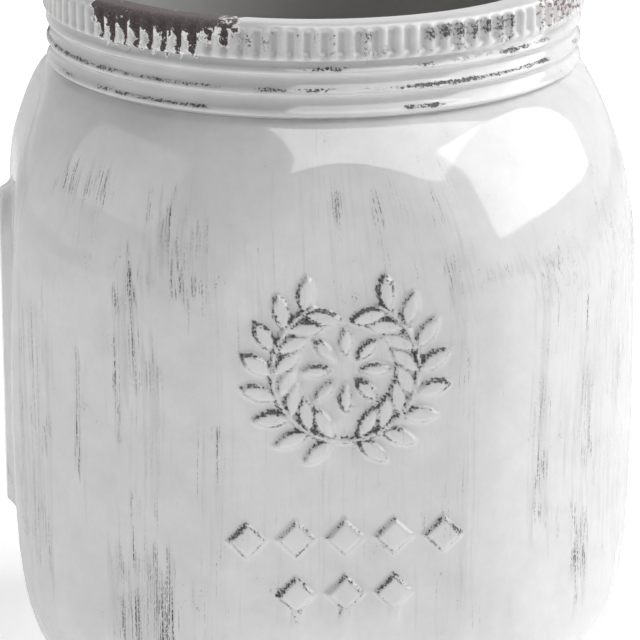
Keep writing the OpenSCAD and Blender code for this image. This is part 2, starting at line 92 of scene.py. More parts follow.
class JarSizes(bpy.types.PropertyGroup):
    foot_z: millimetres("Foot", "Height of the foot ring above the ground", 1.2)
    lip_z: millimetres("Lip", "Height of the lip above the ground", 181.2)
    neck_z: millimetres("Neck", "Height where the neck starts", 158.4)
    shoulder_z: millimetres("Shoulder", "Height where the shoulder starts", 114.4)
    corner_r: millimetres("Corners", "Radius of the body at its corners", 81)
    flat: millimetres("Flats", "Distance of the flat sides from the axis", 74.5)
    side_bow: millimetres("Side bow", "How far the left and right sides bow out", 1.6)
    panel_half: millimetres("Panels", "Half the width of the flat panels", 28)
    panel_top: millimetres("Panel top", "Height of the arch of the flat panels", 139.5)
    base_round: millimetres("Base rounding", "Radius between side and base", 36)
    side_round: millimetres("Side rounding", "Height where the flat sides turn in", 43.2)
    wall: millimetres("Wall", "Thickness of the ceramic wall", 6)
    floor_t: millimetres("Floor", "Thickness of the jar's floor", 7)
    core_r: millimetres("Neck core", "Radius of the neck between its rings", 63.5)
    ring_crest: millimetres("Rings", "How far a ring's crest stands out from the core", 1.5)
    ring_pitch: millimetres("Ring pitch", "Distance from one ring to the next", 4.9)
    ring_z: millimetres("Top ring", "Height of the top ring's crest", 169.8)
    band_r: millimetres("Band", "Radius of the band that carries the ribs", 64.6)
    band_z: millimetres("Band's edge", "Height of the ribbed band's lower edge", 173)
    rib: millimetres("Ribs", "How far a rib stands out from the band", 1.15)
    lip_round: millimetres("Lip rounding", "Radius of the lip", 2.4)
    mouth_r: millimetres("Mouth", "Radius of the mouth", 57)
    relief: millimetres("Relief", "How far the front relief stands out", 1.2)
    wreath_z: millimetres("Wreath", "Height of the wreath's middle", 102.2)
    wreath_r: millimetres("Wreath radius", "Radius of the wreath's stem", 17)
    leaf_l: millimetres("Leaf", "Length of a leaf", 9)
    leaf_w: millimetres("Leaf width", "Width of a leaf", 3.8)
    lozenge_z: millimetres("Lozenges", "Height of the upper row of lozenges", 61.2)
    lozenge_row: millimetres("Lozenge rows", "Distance between the rows of lozenges", 14)
    lozenge_pitch: millimetres("Lozenge pitch", "Distance from one lozenge to the next", 11.5)
    lozenge_l: millimetres("Lozenge", "Length of a lozenge from point to point", 9)
    grip: millimetres("Grips", "How far a side grip stands out", 3)
    grip_z: millimetres("Grip height", "Height of a side grip's middle", 87.2)
    grip_h: millimetres("Grip length", "Height of a side grip", 82)
    grip_w: millimetres("Grip width", "Width of a side grip", 40)


class JarColours(bpy.types.PropertyGroup):
    glaze: colour("Glaze", "White of the glaze", "E5E5E5")
    glaze_thin: colour("Thin glaze", "Glaze where it has run thin", "D9D9D9")
    crawled: colour("Crawled glaze", "Glaze drawn up round a chip", "FDFDFD")
    # The grey inside is painted shade: it darkens the inner walls to stand in for the shade inside
    # the jar
    inside: colour("Inside", "Grey glaze inside the jar", "B4B4B4")
    smear_and_shade: colour("Smears", "Grey stain left in the brush marks", "8E8E8D")
    # This grey also paints shade in the flutes, between the rings and on the relief's upper-left
    # flanks
    scratch: colour("Scratches", "Dark clay rubbed through the glaze", "393838")
    clay: colour("Chips", "Bare brown clay in a chip", "43393A")
    clay_light: colour("Speckles", "Paler clay in small chips", "967F7B")


class CandleSizes(bpy.types.PropertyGroup):
    radius: millimetres("Radius", "Radius of the wax shell", 38)
    low: millimetres("Bottom", "Height of the shell's lower edge", 13.9)
    rim: millimetres("Rim", "Height of the shell's rim", 104.2)
    dish: millimetres("Dish", "Height of the dish's middle", 99.2)
    top: millimetres("Top", "Height of the shell's ceiling", 96.8)
    wall: millimetres("Wall", "Thickness of the shell", 2.2)
    hole: millimetres("Flame hole", "Radius of the hole for the flame", 6)


class CandleColours(bpy.types.PropertyGroup):
    wax: colour("Wax", "Ivory paraffin wax", "F1E7CF")
    flame: colour("Flame", "Frosted flame lens", "F6DFAE")


class StageLook(bpy.types.PropertyGroup):
    floor: colour("Floor", "Plain pale floor", "F4F4F4")
    key: light_level("Upper softbox", "Radiance of the softbox above the right side", 4.9)
    side: light_level("Right softbox", "Radiance of the softbox at the right", 0.35)
    low: light_level("Left strip", "Radiance of the low strip at the left", 2.3)
    around: light_level("Surroundings", "Light from all round", 0.2)


# Modelling by hand, in code

def put_down():
    """Leave nothing selected."""
    bpy.ops.object.select_all(action="DESELECT")


def take(obj):
    put_down()
    obj.select_set(True)
    bpy.context.view_layer.objects.active = obj


def edit(obj, kind, test, *steps):
    """Run the steps in edit mode on the vertices, edges or faces that pass the test."""
    take(obj)
    mesh = obj.data
    for other, items in zip(KINDS, (mesh.vertices, mesh.edges, mesh.polygons)):
        items.foreach_set("select", [other == kind and bool(test(item)) for item in items])
    bpy.context.tool_settings.mesh_select_mode = [kind == other for other in KINDS]
    bpy.ops.object.mode_set(mode="EDIT")
    for step in steps:
        step()
    bpy.ops.object.mode_set(mode="OBJECT")


def everything(item):
    return True


def tidy_mesh(obj):
    """Merge doubles and point the faces outwards."""
    edit(obj, "VERT", everything,
         lambda: bpy.ops.mesh.remove_doubles(threshold=0.012 * MM),
         lambda: bpy.ops.mesh.normals_make_consistent(inside=False))


def spun(name, section, steps):
    """Spin a half section, a list of radius and height in metres, round the vertical axis."""
    put_down()
    bpy.ops.mesh.primitive_plane_add(size=MM, location=(0, 0, 0))
    obj = bpy.context.object
    obj.name = obj.data.name = name
    bpy.context.tool_settings.mesh_select_mode = (True, False, False)
    bpy.ops.object.mode_set(mode="EDIT")
    bpy.ops.mesh.merge(type="CENTER")
    bpy.ops.transform.translate(value=(section[0][0], 0, section[0][1]))
    for (r0, z0), (r1, z1) in zip(section, section[1:]):
        bpy.ops.mesh.extrude_vertices_move(TRANSFORM_OT_translate={"value": (r1 - r0, 0, z1 - z0)})
    bpy.ops.mesh.select_all(action="SELECT")
    bpy.ops.mesh.spin(steps=steps, angle=2 * math.pi, center=(0, 0, 0), axis=(0, 0, 1))
    bpy.ops.object.mode_set(mode="OBJECT")
    tidy_mesh(obj)
    return obj


def arc(centre_r, centre_z, rx, rz, start, end, steps):
    """Points along an elliptical arc of a section, angles in degrees."""
    angles = [math.radians(start + (end - start) * i / steps) for i in range(steps + 1)]
    return [(centre_r + rx * math.cos(a), centre_z + rz * math.sin(a)) for a in angles]


def displace(obj, shares, direction, distance):
    """Move vertices along a direction, each by its share of a distance."""
    take(obj)
    group = obj.vertex_groups.new(name="push")
    for index, share in shares.items():
        group.add([index], min(1, share), "REPLACE")
    push = obj.modifiers.new("push", "DISPLACE")
    push.direction = direction
    push.mid_level = 0
    push.strength = distance
    push.vertex_group = "push"
    bpy.ops.object.modifier_apply(modifier="push")
    obj.vertex_groups.remove(obj.vertex_groups["push"])


def swell(obj, weight, height):
    """Push the surface out along its normals by a height times the weight of each vertex."""
    shares = {v.index: weight(v.co) for v in obj.data.vertices}
    displace(obj, {i: share for i, share in shares.items() if share > 0.001}, "NORMAL", height)


def paint(obj, name, value):
    """Write a number on each vertex, for the material to read."""
    layer = obj.data.attributes.new(name, "FLOAT", "POINT")
    layer.data.foreach_set("value", [value(vertex.co) for vertex in obj.data.vertices])


def smooth(obj, degrees=40):
    take(obj)
    bpy.ops.object.shade_smooth_by_angle(angle=math.radians(degrees))


def ease(t):
    """Smooth step from 0 to 1."""
    t = min(1, max(0, t))
    return t * t * (3 - 2 * t)


def hump(value, low, high, soft):
    """1 between two limits, fading to 0 over a soft edge outside them."""
    return ease((value - low) / soft + 1) * ease((high - value) / soft + 1)


# Materials

def feed(tree, value, socket):
    """Set a socket to a value, or link it to a socket or to the first output of a node."""
    if isinstance(value, bpy.types.Node):
        value = value.outputs[0]
    if isinstance(value, bpy.types.NodeSocket):
        tree.links.new(value, socket)
    else:
        socket.default_value = value


def add(tree, kind, inputs=(), **settings):
    """Add a shader node with its settings and what feeds its inputs."""
    node = tree.nodes.new("ShaderNode" + kind)
    for name, value in settings.items():
        setattr(node, name, value)
    for name, value in dict(inputs).items():
        feed(tree, value, node.inputs[name])
    return node


def rgba(value):
    return (*value[:3], 1)


def new_material(name):
    """A material with a bare Principled shader, its tree and the object's own coordinates."""
    material = bpy.data.materials.new(name)
    material.use_nodes = True
    tree = material.node_tree
    tree.nodes.clear()
    shader = add(tree, "BsdfPrincipled")
    add(tree, "OutputMaterial", {"Surface": shader.outputs["BSDF"]})
    place = add(tree, "TexCoord").outputs["Object"]
    return material, tree, shader, place


def connect(tree, shader, **sockets):
    """Feed the shader's sockets, named with underscores for spaces."""
    for name, value in sockets.items():
        feed(tree, value, shader.inputs[name.replace("_", " ")])


def dress(tree, shader, colour, rough, grain):
    """Shade a shader's colour, roughness and surface: what drives each, then its two limits."""
    tone = add(tree, "Mix", {"Factor": colour[0], 6: rgba(colour[1]), 7: rgba(colour[2])},
               data_type="RGBA")
    polish = add(tree, "MapRange", {"Value": rough[0], "To Min": rough[1], "To Max": rough[2]})
    bump = add(tree, "Bump", {"Height": grain[0], "Strength": grain[1], "Distance": grain[2]})
    connect(tree, shader, Base_Color=tone.outputs[2], Roughness=polish, Normal=bump)


# Brush hairlines: size across (mm), size along as a share, push of the wear, where they cut in
# and where they are fully cut. Hairs 0.35 mm apart and 25 mm long, bands 2.5 mm wide, grit of
# 0.3 mm, and fading over 10 mm
HAIRLINES = ((0.35, 0.014, 0.24, 0.73, 0.83), (2.5, 0.05, 0.2, 0.53, 0.83),
             (0.3, 0.4, 0.1, 0.5, 0.63), (10, 0.8, 0.16, 0.5, 0.66))


def brush_strokes(tree, place, body_r):
    """Coordinates that follow the brush: round the jar, and up along its skin."""
    out = add(tree, "VectorMath", {0: place, 1: (1, 1, 0)}, operation="MULTIPLY")
    reach = add(tree, "VectorMath", {0: out}, operation="LENGTH").outputs["Value"]
    aim = add(tree, "VectorMath", {0: out}, operation="NORMALIZE")
    height = add(tree, "SeparateXYZ", {0: place}).outputs["Z"]
    inward = add(tree, "Math", {0: body_r, 1: reach}, operation="SUBTRACT")
    turn = add(tree, "MapRange",
               {"Value": height, "From Min": 40 * MM, "From Max": 100 * MM, "To Min": -1.0})
    climb = add(tree, "Math", {0: inward, 1: turn, 2: height}, operation="MULTIPLY_ADD")
    rise = add(tree, "CombineXYZ", {"Z": climb})
    skin = add(tree, "VectorMath", {0: aim, 1: (body_r, body_r, 0), 2: rise},
               operation="MULTIPLY_ADD")
    # On the shoulder right of the middle the strokes lean, by 10 mm at most
    over = add(tree, "MapRange",
               {"Value": climb, "From Min": 112 * MM, "From Max": 160 * MM, "To Max": 10 * MM})
    right = add(tree, "SeparateXYZ", {0: place}).outputs["X"]
    right = add(tree, "MapRange", {"Value": right, "From Min": -12 * MM, "From Max": 6 * MM})
    lean = add(tree, "Math", {0: over, 1: right}, operation="MULTIPLY")
    lean = add(tree, "CombineXYZ", {"X": lean})
    skin = add(tree, "VectorMath", {0: skin, 1: lean}, operation="ADD")
    # The hand sways by 1 mm along its strokes
    sway = add(tree, "TexNoise", {"Vector": skin, "Scale": 1 / (80 * MM), "Detail": 0})
    return add(tree, "VectorMath", {0: sway.outputs["Color"], 1: (7 * MM, 7 * MM, 0), 2: skin},
               operation="MULTIPLY_ADD")


def distressed_glaze(colours, body_r):
    """White tin glaze, brushed on and rubbed back: glossy, with dark clay in dry scratches and
    painted shade in its hollows and inside.
    """
    material, tree, shader, place = new_material("white_glaze_rubbed_back")
    connect(tree, shader, IOR=1.5)
    wear, edge, chip, speck, flute, inside = (
        add(tree, "Attribute", attribute_name=name).outputs["Fac"] for name in MARKS)
    stroke = brush_strokes(tree, place, body_r)
    scratch = None
    for size, along, push, low, high in HAIRLINES:
        drawn = add(tree, "Mapping", {"Vector": stroke, "Scale": (1, 1, along)})
        streaks = add(tree, "TexNoise", {"Vector": drawn, "Scale": 1 / (size * MM),
                                         "Detail": 1, "Roughness": 0.5})
        pressed = add(tree, "Math", {0: wear, 1: push, 2: streaks}, operation="MULTIPLY_ADD")
        cut = add(tree, "MapRange", {"Value": pressed, "From Min": low, "From Max": high})
        if scratch:
            cut = add(tree, "Math", {0: cut, 1: scratch}, operation="MULTIPLY")
        scratch = cut

    # Grey smears left between the strokes in streaks of 1.6 mm, round the chips, and painted shade
    # in the flutes
    upright = add(tree, "Mapping", {"Vector": stroke, "Scale": (1, 1, 0.03)})
    streak = add(tree, "TexNoise", {"Vector": upright, "Scale": 1 / (1.6 * MM),
                                    "Detail": 5, "Roughness": 0.75})
    stain_and_shade = add(tree, "Math", {0: wear, 1: 0.25, 2: streak}, operation="MULTIPLY_ADD")
    stain_and_shade = add(tree, "MapRange",
                {"Value": stain_and_shade, "From Min": 0.64, "From Max": 0.95, "To Max": 0.34})
    # Grey round the chips and the rubbed crests; in the flutes, between the rings and on the
    # relief's upper-left flanks this grey is painted shade
    for source, most in ((chip, 0.4), (flute, 0.48), (edge, 0.38)):
        grey_halo_and_shade = add(tree, "MapRange", {"Value": source, "From Min": 0.1, "To Max": most})
        stain_and_shade = add(tree, "Math", {0: stain_and_shade, 1: grey_halo_and_shade}, operation="MAXIMUM")

    # Crests of rings and relief rubbed bare in spots 0.7 mm apart, in runs of some 7 mm; on the
    # relief's upper-left flanks this dark is partly painted shade
    spots = add(tree, "TexNoise",
                {"Vector": place, "Scale": 1 / (0.7 * MM), "Detail": 4, "Roughness": 0.7})
    runs = add(tree, "TexNoise", {"Vector": place, "Scale": 1 / (7 * MM), "Detail": 1})
    patch = add(tree, "Math", {0: runs, 1: 0.5, 2: spots}, operation="MULTIPLY_ADD")
    rubbed = add(tree, "Math", {0: edge, 1: 0.33, 2: patch}, operation="MULTIPLY_ADD")
    bare = add(tree, "MapRange",
               {"Value": rubbed, "From Min": 1.0, "From Max": 1.09, "To Max": 0.95})
    dark = add(tree, "Math", {0: scratch, 1: bare}, operation="MAXIMUM")

    # Glaze chipped off the rim in pieces some 1.7 mm across, and drawn up white round them
    torn = add(tree, "TexNoise", {"Vector": place, "Scale": 1 / (1.7 * MM), "Detail": 4,
                                  "Roughness": 0.65, "Distortion": 0.7})
    lost = add(tree, "Math", {0: chip, 1: 0.5, 2: torn}, operation="MULTIPLY_ADD")
    open_clay = add(tree, "MapRange", {"Value": lost, "From Min": 0.79, "From Max": 0.81})
    brim = add(tree, "MapRange", {"Value": lost, "From Min": 0.64, "From Max": 0.67})
    near_chip = add(tree, "MapRange", {"Value": chip, "From Min": 0.04, "From Max": 0.12})
    brim = add(tree, "Math", {0: brim, 1: near_chip}, operation="MULTIPLY")

    # Speckles of paler clay, 1 mm apart
    dots = add(tree, "TexNoise",
               {"Vector": place, "Scale": 1 / (1.0 * MM), "Detail": 3, "Roughness": 0.6})
    pitted = add(tree, "Math", {0: speck, 1: 0.28, 2: dots}, operation="MULTIPLY_ADD")
    pits = add(tree, "MapRange", {"Value": pitted, "From Min": 0.80, "From Max": 0.86})

    # Thicker and thinner glaze over 14 mm and down to grains of 0.5 mm, and bare clay as fine
    cloud = add(tree, "TexNoise",
                {"Vector": place, "Scale": 1 / (14 * MM), "Detail": 6, "Roughness": 0.72})
    depth = add(tree, "MapRange", {"Value": cloud, "From Min": 0.35, "From Max": 0.7})
    clay_grain = add(tree, "MapRange",
                     {"Value": spots, "From Min": 0.5, "From Max": 0.75, "To Max": 0.5})
    coat = add(tree, "Mix", {"Factor": depth, 6: rgba(colours.glaze),
                             7: rgba(colours.glaze_thin)}, data_type="RGBA")
    clay = add(tree, "Mix", {"Factor": clay_grain, 6: rgba(colours.clay),
                             7: rgba(colours.clay_light)}, data_type="RGBA")
    # Layered over the glaze: grey smears with painted shade, scratches, speckles, crawled glaze,
    # bare clay, and the grey inside, which is painted shade
    layers = coat.outputs[2]
    for amount, over in ((stain_and_shade, rgba(colours.smear_and_shade)), (dark, rgba(colours.scratch)),
                         (pits, rgba(colours.clay_light)), (brim, rgba(colours.crawled)),
                         (open_clay, clay.outputs[2]), (inside, rgba(colours.inside))):
        layers = add(tree, "Mix", {"Factor": amount, 6: layers, 7: over},
                     data_type="RGBA").outputs[2]

    matt = add(tree, "Math", {0: dark, 1: open_clay}, operation="MAXIMUM")
    matt = add(tree, "Math", {0: matt, 1: pits}, operation="MAXIMUM")
    polish = add(tree, "MapRange", {"Value": matt, "To Min": 0.07, "To Max": 0.7})
    # The brushed coat ripples by hundredths of a millimetre, and marks lie deeper
    ripple = add(tree, "TexNoise",
                 {"Vector": place, "Scale": 1 / (9 * MM), "Detail": 3, "Roughness": 0.4})
    level = add(tree, "Math", {0: matt, 1: -1.5, 2: brim}, operation="MULTIPLY_ADD")
    ground = add(tree, "Bump", {"Height": ripple, "Strength": 0.45, "Distance": 0.25 * MM})
    bump = add(tree, "Bump", {"Height": level, "Strength": 0.8, "Distance": 0.2 * MM,
                              "Normal": ground})
    connect(tree, shader, Base_Color=layers, Roughness=polish, Normal=bump)
    return material


def moulded(name, code, roughness, grain_mm, depth_mm=0.02, ior=1.49, shift=0.12, metallic=0.0,
            stretch=(1, 1, 1)):
    """A plain material with fine grain of a real size, which shades its colour and surface."""
    material, tree, shader, place = new_material(name)
    base = linear(code)
    connect(tree, shader, Metallic=metallic)
    if not metallic:
        connect(tree, shader, IOR=ior)
    spread = add(tree, "Mapping", {"Vector": place, "Scale": stretch})
    grain = add(tree, "TexNoise",
                {"Vector": spread, "Scale": 1 / (grain_mm * MM), "Detail": 4, "Roughness": 0.6})
    dress(tree, shader, (grain, base, [c * (1 - shift) for c in base]),
          (grain, roughness * 0.8, min(1, roughness * 1.2)), (grain, 0.5, depth_mm * MM))
    return material


def paraffin(wax):
    """Paraffin wax over plastic: light sinks in a few millimetres, and the skin is satin."""
    material, tree, shader, place = new_material("paraffin_wax_dipped")
    connect(tree, shader, IOR=1.44, Subsurface_Weight=0.35, Subsurface_Scale=1.0,
            Subsurface_Radius=(4 * MM, 2.4 * MM, 1.4 * MM))
    bloom = add(tree, "TexNoise",
                {"Vector": place, "Scale": 1 / (14 * MM), "Detail": 4, "Roughness": 0.55})
    run = add(tree, "Mapping", {"Vector": place, "Scale": (1, 1, 0.25)})
    skin = add(tree, "TexNoise",
               {"Vector": run, "Scale": 1 / (5 * MM), "Detail": 3, "Roughness": 0.5})
    aged = [c * f for c, f in zip(wax, (0.93, 0.9, 0.84))]
    dress(tree, shader, (bloom, wax, aged), (bloom, 0.34, 0.52), (skin, 0.5, 0.3 * MM))
    return material


def frosted_flame(tip_colour):
    """Frosted polypropylene flame, moulded thin: light passes through and scatters."""
    material, tree, shader, place = new_material("frosted_polypropylene")
    connect(tree, shader, IOR=1.49, Transmission_Weight=0.35, Subsurface_Weight=0.3,
            Subsurface_Radius=(2.5 * MM, 1.6 * MM, 0.9 * MM), Subsurface_Scale=1.0)
    height = add(tree, "SeparateXYZ", {0: place}).outputs["Z"]
    tip = add(tree, "MapRange", {"Value": height, "From Min": 99 * MM, "From Max": 118 * MM})
    frost = add(tree, "TexNoise",
                {"Vector": place, "Scale": 1 / (0.6 * MM), "Detail": 2, "Roughness": 0.5})
    foot = [c * f for c, f in zip(tip_colour, (1, 0.86, 0.62))]
    dress(tree, shader, (tip, foot, tip_colour), (frost, 0.35, 0.5), (frost, 0.4, 0.02 * MM))
    return material


def wool_felt():
    """Pressed wool felt: matt matted fibres some 0.3 mm apart."""
    material, tree, shader, place = new_material("grey_wool_felt_pressed")
    connect(tree, shader, IOR=1.5, Sheen_Weight=0.3)
    fibre = add(tree, "TexNoise", {"Vector": place, "Scale": 1 / (0.35 * MM), "Detail": 5,
                                   "Roughness": 0.7, "Distortion": 1.5})
    dress(tree, shader, (fibre, linear("47474A"), linear("6E6E72")), (fibre, 0.88, 1.0),
          (fibre, 0.9, 0.15 * MM))
    return material


def finish(obj, material):
    obj.data.materials.clear()
    obj.data.materials.append(material)


# The jar

def jar_section(s):
    """Half section of the jar, from the middle of its underside over the lip to its inner floor."""
    recess = s.foot_z + 1.5 * MM
    edge_r = s.corner_r - s.base_round
    foot_r = edge_r - 11 * MM
    inner_r = s.corner_r - s.wall
    inner_top = s.neck_z - s.wall
    floor_z = s.foot_z + s.floor_t
    inner_round = s.base_round - s.wall
    points = [(0, recess), (12 * MM, recess), (foot_r - 1 * MM, recess),
              (foot_r - 0.3 * MM, recess - 0.3 * MM), (foot_r + 0.2 * MM, s.foot_z + 0.5 * MM),
              (foot_r + 0.8 * MM, s.foot_z + 0.1 * MM), (foot_r + 1.8 * MM, s.foot_z)]
    points += arc(edge_r, s.foot_z + s.base_round, s.base_round, s.base_round, -90, 0, 14)
    rows = 12
    low = s.foot_z + s.base_round
    points += [(s.corner_r, low + (s.shoulder_z - low) * i / rows) for i in range(1, rows)]
    for i in range(25):
        turn = math.radians(84 * i / 24)
        points.append((s.core_r + (s.corner_r - s.core_r) * math.cos(turn) ** (2 / SHOULDER),
                       s.shoulder_z + (s.neck_z - s.shoulder_z) * math.sin(turn) ** (2 / SHOULDER)))
    points += [(s.core_r + 0.5 * MM, s.neck_z)]
    # Each ring flares out downwards to a rounded crest and turns in under it
    for i in reversed(range(RINGS)):
        crest = s.ring_z - i * s.ring_pitch
        points += [(s.core_r - 0.2 * MM + out * (s.ring_crest + 0.2 * MM), crest + up * MM)
                   for out, up in RING]
    points.pop()
    band_r = s.band_r + s.rib
    points += [(s.core_r, s.band_z - 0.55 * MM), (band_r - 0.6 * MM, s.band_z - 0.35 * MM),
               (band_r - 0.12 * MM, s.band_z)]
    points += [(band_r, s.band_z + up * MM)
               for up in (0.35, 0.7, 1.05, 1.4, 1.8, 2.3, 3.0, 3.7, 4.4, 5.1)]
    lip_r = s.lip_round
    points += arc(band_r - lip_r, s.lip_z - lip_r, lip_r, lip_r, 0, 90, 9)
    points += [(band_r - lip_r - 1.4 * MM, s.lip_z)]
    points += arc(s.mouth_r + lip_r, s.lip_z - lip_r, lip_r, lip_r, 90, 180, 6)
    points += [(s.mouth_r, s.lip_z - 10 * MM), (s.mouth_r, s.lip_z - 18 * MM),
               (s.mouth_r, s.neck_z - 2 * MM), (s.mouth_r, s.neck_z - 4 * MM),
               (s.mouth_r + 0.5 * MM, s.neck_z - 5.4 * MM),
               (s.mouth_r + 1.6 * MM, s.neck_z - 6.2 * MM)]
    points += arc(s.mouth_r, s.shoulder_z, inner_r - s.mouth_r, inner_top - s.shoulder_z, 76, 0, 10)
    points += [(inner_r, s.shoulder_z - 25 * MM), (inner_r, s.shoulder_z - 50 * MM)]
    points += arc(inner_r - inner_round, floor_z + inner_round, inner_round, inner_round, 0, -90, 9)
    points += [(15 * MM, floor_z), (0, floor_z)]
    return points


def outer_radius(s, z):
    """Radius of the jar's outside before its sides are flattened."""
    if z > s.neck_z:
        return s.core_r
    if z > s.shoulder_z:
        t = (z - s.shoulder_z) / (s.neck_z - s.shoulder_z)
        return s.core_r + (s.corner_r - s.core_r) * (1 - t ** SHOULDER) ** (1 / SHOULDER)
    t = max(0, (s.foot_z + s.base_round - z) / s.base_round)
    return s.corner_r - s.base_round * (1 - math.sqrt(max(0, 1 - t * t)))


def side_limit(s, axis, across, z):
    """How far out a pressed side stands, at a distance across it and a height."""
    t = min(0.98, max(0, (s.side_round - z) / (s.side_round - s.foot_z)))
    limit = s.flat - BASE_TURN_IN * (1 - math.sqrt(1 - t * t))
    if axis == 0:
        limit += bow(s, z) - 3.5 * max(0, z - LEAN_Z) ** 2
    rise = s.panel_top - ARCH_Z
    past = ((across / s.panel_half) ** 4 + (max(0, z - ARCH_Z) / rise) ** 4) ** 0.25 - 1
    return limit - 0.25 * s.panel_half * max(0, past)


def bow(s, z):
    """How far the left and right sides bow out at a height."""
    return s.side_bow * max(0, 1 - ((z - BOW_Z) / BOW_HALF) ** 2)


def on_side(s, co, axis, side, slack=ON_SURFACE):
    """Whether a point lies on the pressed side that faces along an axis."""
    return abs(side * co[axis] - side_limit(s, axis, co[1 - axis], co.z)) < slack


def flatten_sides(jar, s):
    """Press the round body in on four sides, outside and inside, and soften the creases."""
    deepest = 10 * MM
    skins = {v.index: math.hypot(v.co.x, v.co.y) > outer_radius(s, v.co.z) - s.wall / 2
             for v in jar.data.vertices}
    creased = set()
    for axis in (0, 1):
        for side in (-1, 1):
            shares = {}
            for v in jar.data.vertices:
                if v.co.z > s.neck_z - 1 * MM or side * v.co[axis] < 20 * MM:
                    continue
                limit = side_limit(s, axis, v.co[1 - axis], v.co.z)
                excess = side * v.co[axis] - (limit - (0 if skins[v.index] else s.wall))
                if excess > 0:
                    shares[v.index] = excess / deepest
                if skins[v.index] and abs(excess) < 0.6 * MM:
                    creased.add(v.index)
            displace(jar, shares, "XY"[axis], -side * deepest)
    edit(jar, "VERT", lambda v: v.index in creased,
         lambda: bpy.ops.mesh.vertices_smooth(factor=0.5, repeat=8))


def refine(jar, axis, side, low, high, half, rows, shoulder_rows, columns, s):
    """Cut the faces of one flat side finely between two heights."""
    points = jar.data.vertices

    def ends_on_side(edge):
        ends = [points[i].co for i in edge.vertices]
        return ends if all(on_side(s, e, axis, side) and abs(e[1 - axis]) < half
                           and low < e.z < high for e in ends) else None

    def upright(edge, lowest, highest):
        ends = ends_on_side(edge)
        return (ends and abs(ends[0].z - ends[1].z) > 0.5 * MM
                and lowest <= (ends[0].z + ends[1].z) / 2 < highest)

    def level(edge):
        ends = ends_on_side(edge)
        return ends and abs(ends[0].z - ends[1].z) < 0.002 * MM

    edit(jar, "EDGE", lambda e: upright(e, 0, s.shoulder_z),
         lambda: bpy.ops.mesh.subdivide(number_cuts=rows))
    edit(jar, "EDGE", lambda e: upright(e, s.shoulder_z, 1),
         lambda: bpy.ops.mesh.subdivide(number_cuts=shoulder_rows))
    if columns:
        edit(jar, "EDGE", level, lambda: bpy.ops.mesh.subdivide(number_cuts=columns))


def leaf_depth(x, y, length, width):
    """How deep a point lies inside a leaf along +X from the origin, in metres; negative outside."""
    arc_r = (length * length + width * width) / (4 * width)
    return arc_r - math.hypot(x - length / 2, abs(y) + (arc_r - width / 2))


def relief_shapes(s):
    """The wreath, star and lozenges: each a function that gives the depth of a point inside it."""
    shapes = []

    def leaf(cx, cy, angle, length, width):
        cos, sin = math.cos(angle), math.sin(angle)

        def depth(x, y):
            dx, dy = x - cx, y - cy
            if abs(dx) > length or abs(dy) > length:
                return -1
            return leaf_depth(dx * cos + dy * sin, dy * cos - dx * sin, length, width)
        shapes.append(depth)

    gap = math.radians(50)
    step = (2 * math.pi - gap) / 2 / LEAF_PAIRS
    for side in (-1, 1):
        for i in range(LEAF_PAIRS):
            turn = side * (i + 0.5) * step - math.pi / 2
            for tilt in (40, 140):
                leaf(s.wreath_r * math.cos(turn), s.wreath_z + s.wreath_r * math.sin(turn),
                     turn + side * math.radians(tilt), s.leaf_l, s.leaf_w)

    def stem(x, y):
        dy = y - s.wreath_z
        if abs(math.atan2(x, dy)) < gap / 2:
            return -1
        return 0.8 * MM - abs(math.hypot(x, dy) - s.wreath_r)
    shapes.append(stem)
    for i in range(STAR_POINTS):
        turn = math.radians(360 * i / STAR_POINTS)
        start = 3.3 * MM
        leaf(start * math.cos(turn), s.wreath_z + start * math.sin(turn), turn, 0.8 * s.leaf_l,
             0.8 * s.leaf_w)

    def lozenge(cx, cy):
        half = s.lozenge_l / 2
        return lambda x, y: (half - abs(x - cx) - abs(y - cy)) / math.sqrt(2)
    for row, reach in ((0, 2), (1, 1)):
        for i in range(-reach, reach + 1):
            shapes.append(lozenge(i * s.lozenge_pitch, s.lozenge_z - row * s.lozenge_row))
    return shapes


def rounded_edge(depth, radius):
    """Height of a pillow-edged relief at a depth inside its outline, from 0 to 1."""
    return math.sin(math.pi / 2 * ease((depth + 0.7 * MM) / (radius + 0.7 * MM)))


def angle_of(co):
    """Degrees round the jar from the front, positive towards +X."""
    return math.degrees(math.atan2(co.x, -co.y))


def groove(co):
    """0 on the ridge of a rib and 1 along the middle of the flute beside it."""
    share = abs((math.degrees(math.atan2(co.y, co.x)) * RIBS / 360 + 0.5) % 1 - 0.5)
    return ease((share - 0.13) / 0.27)


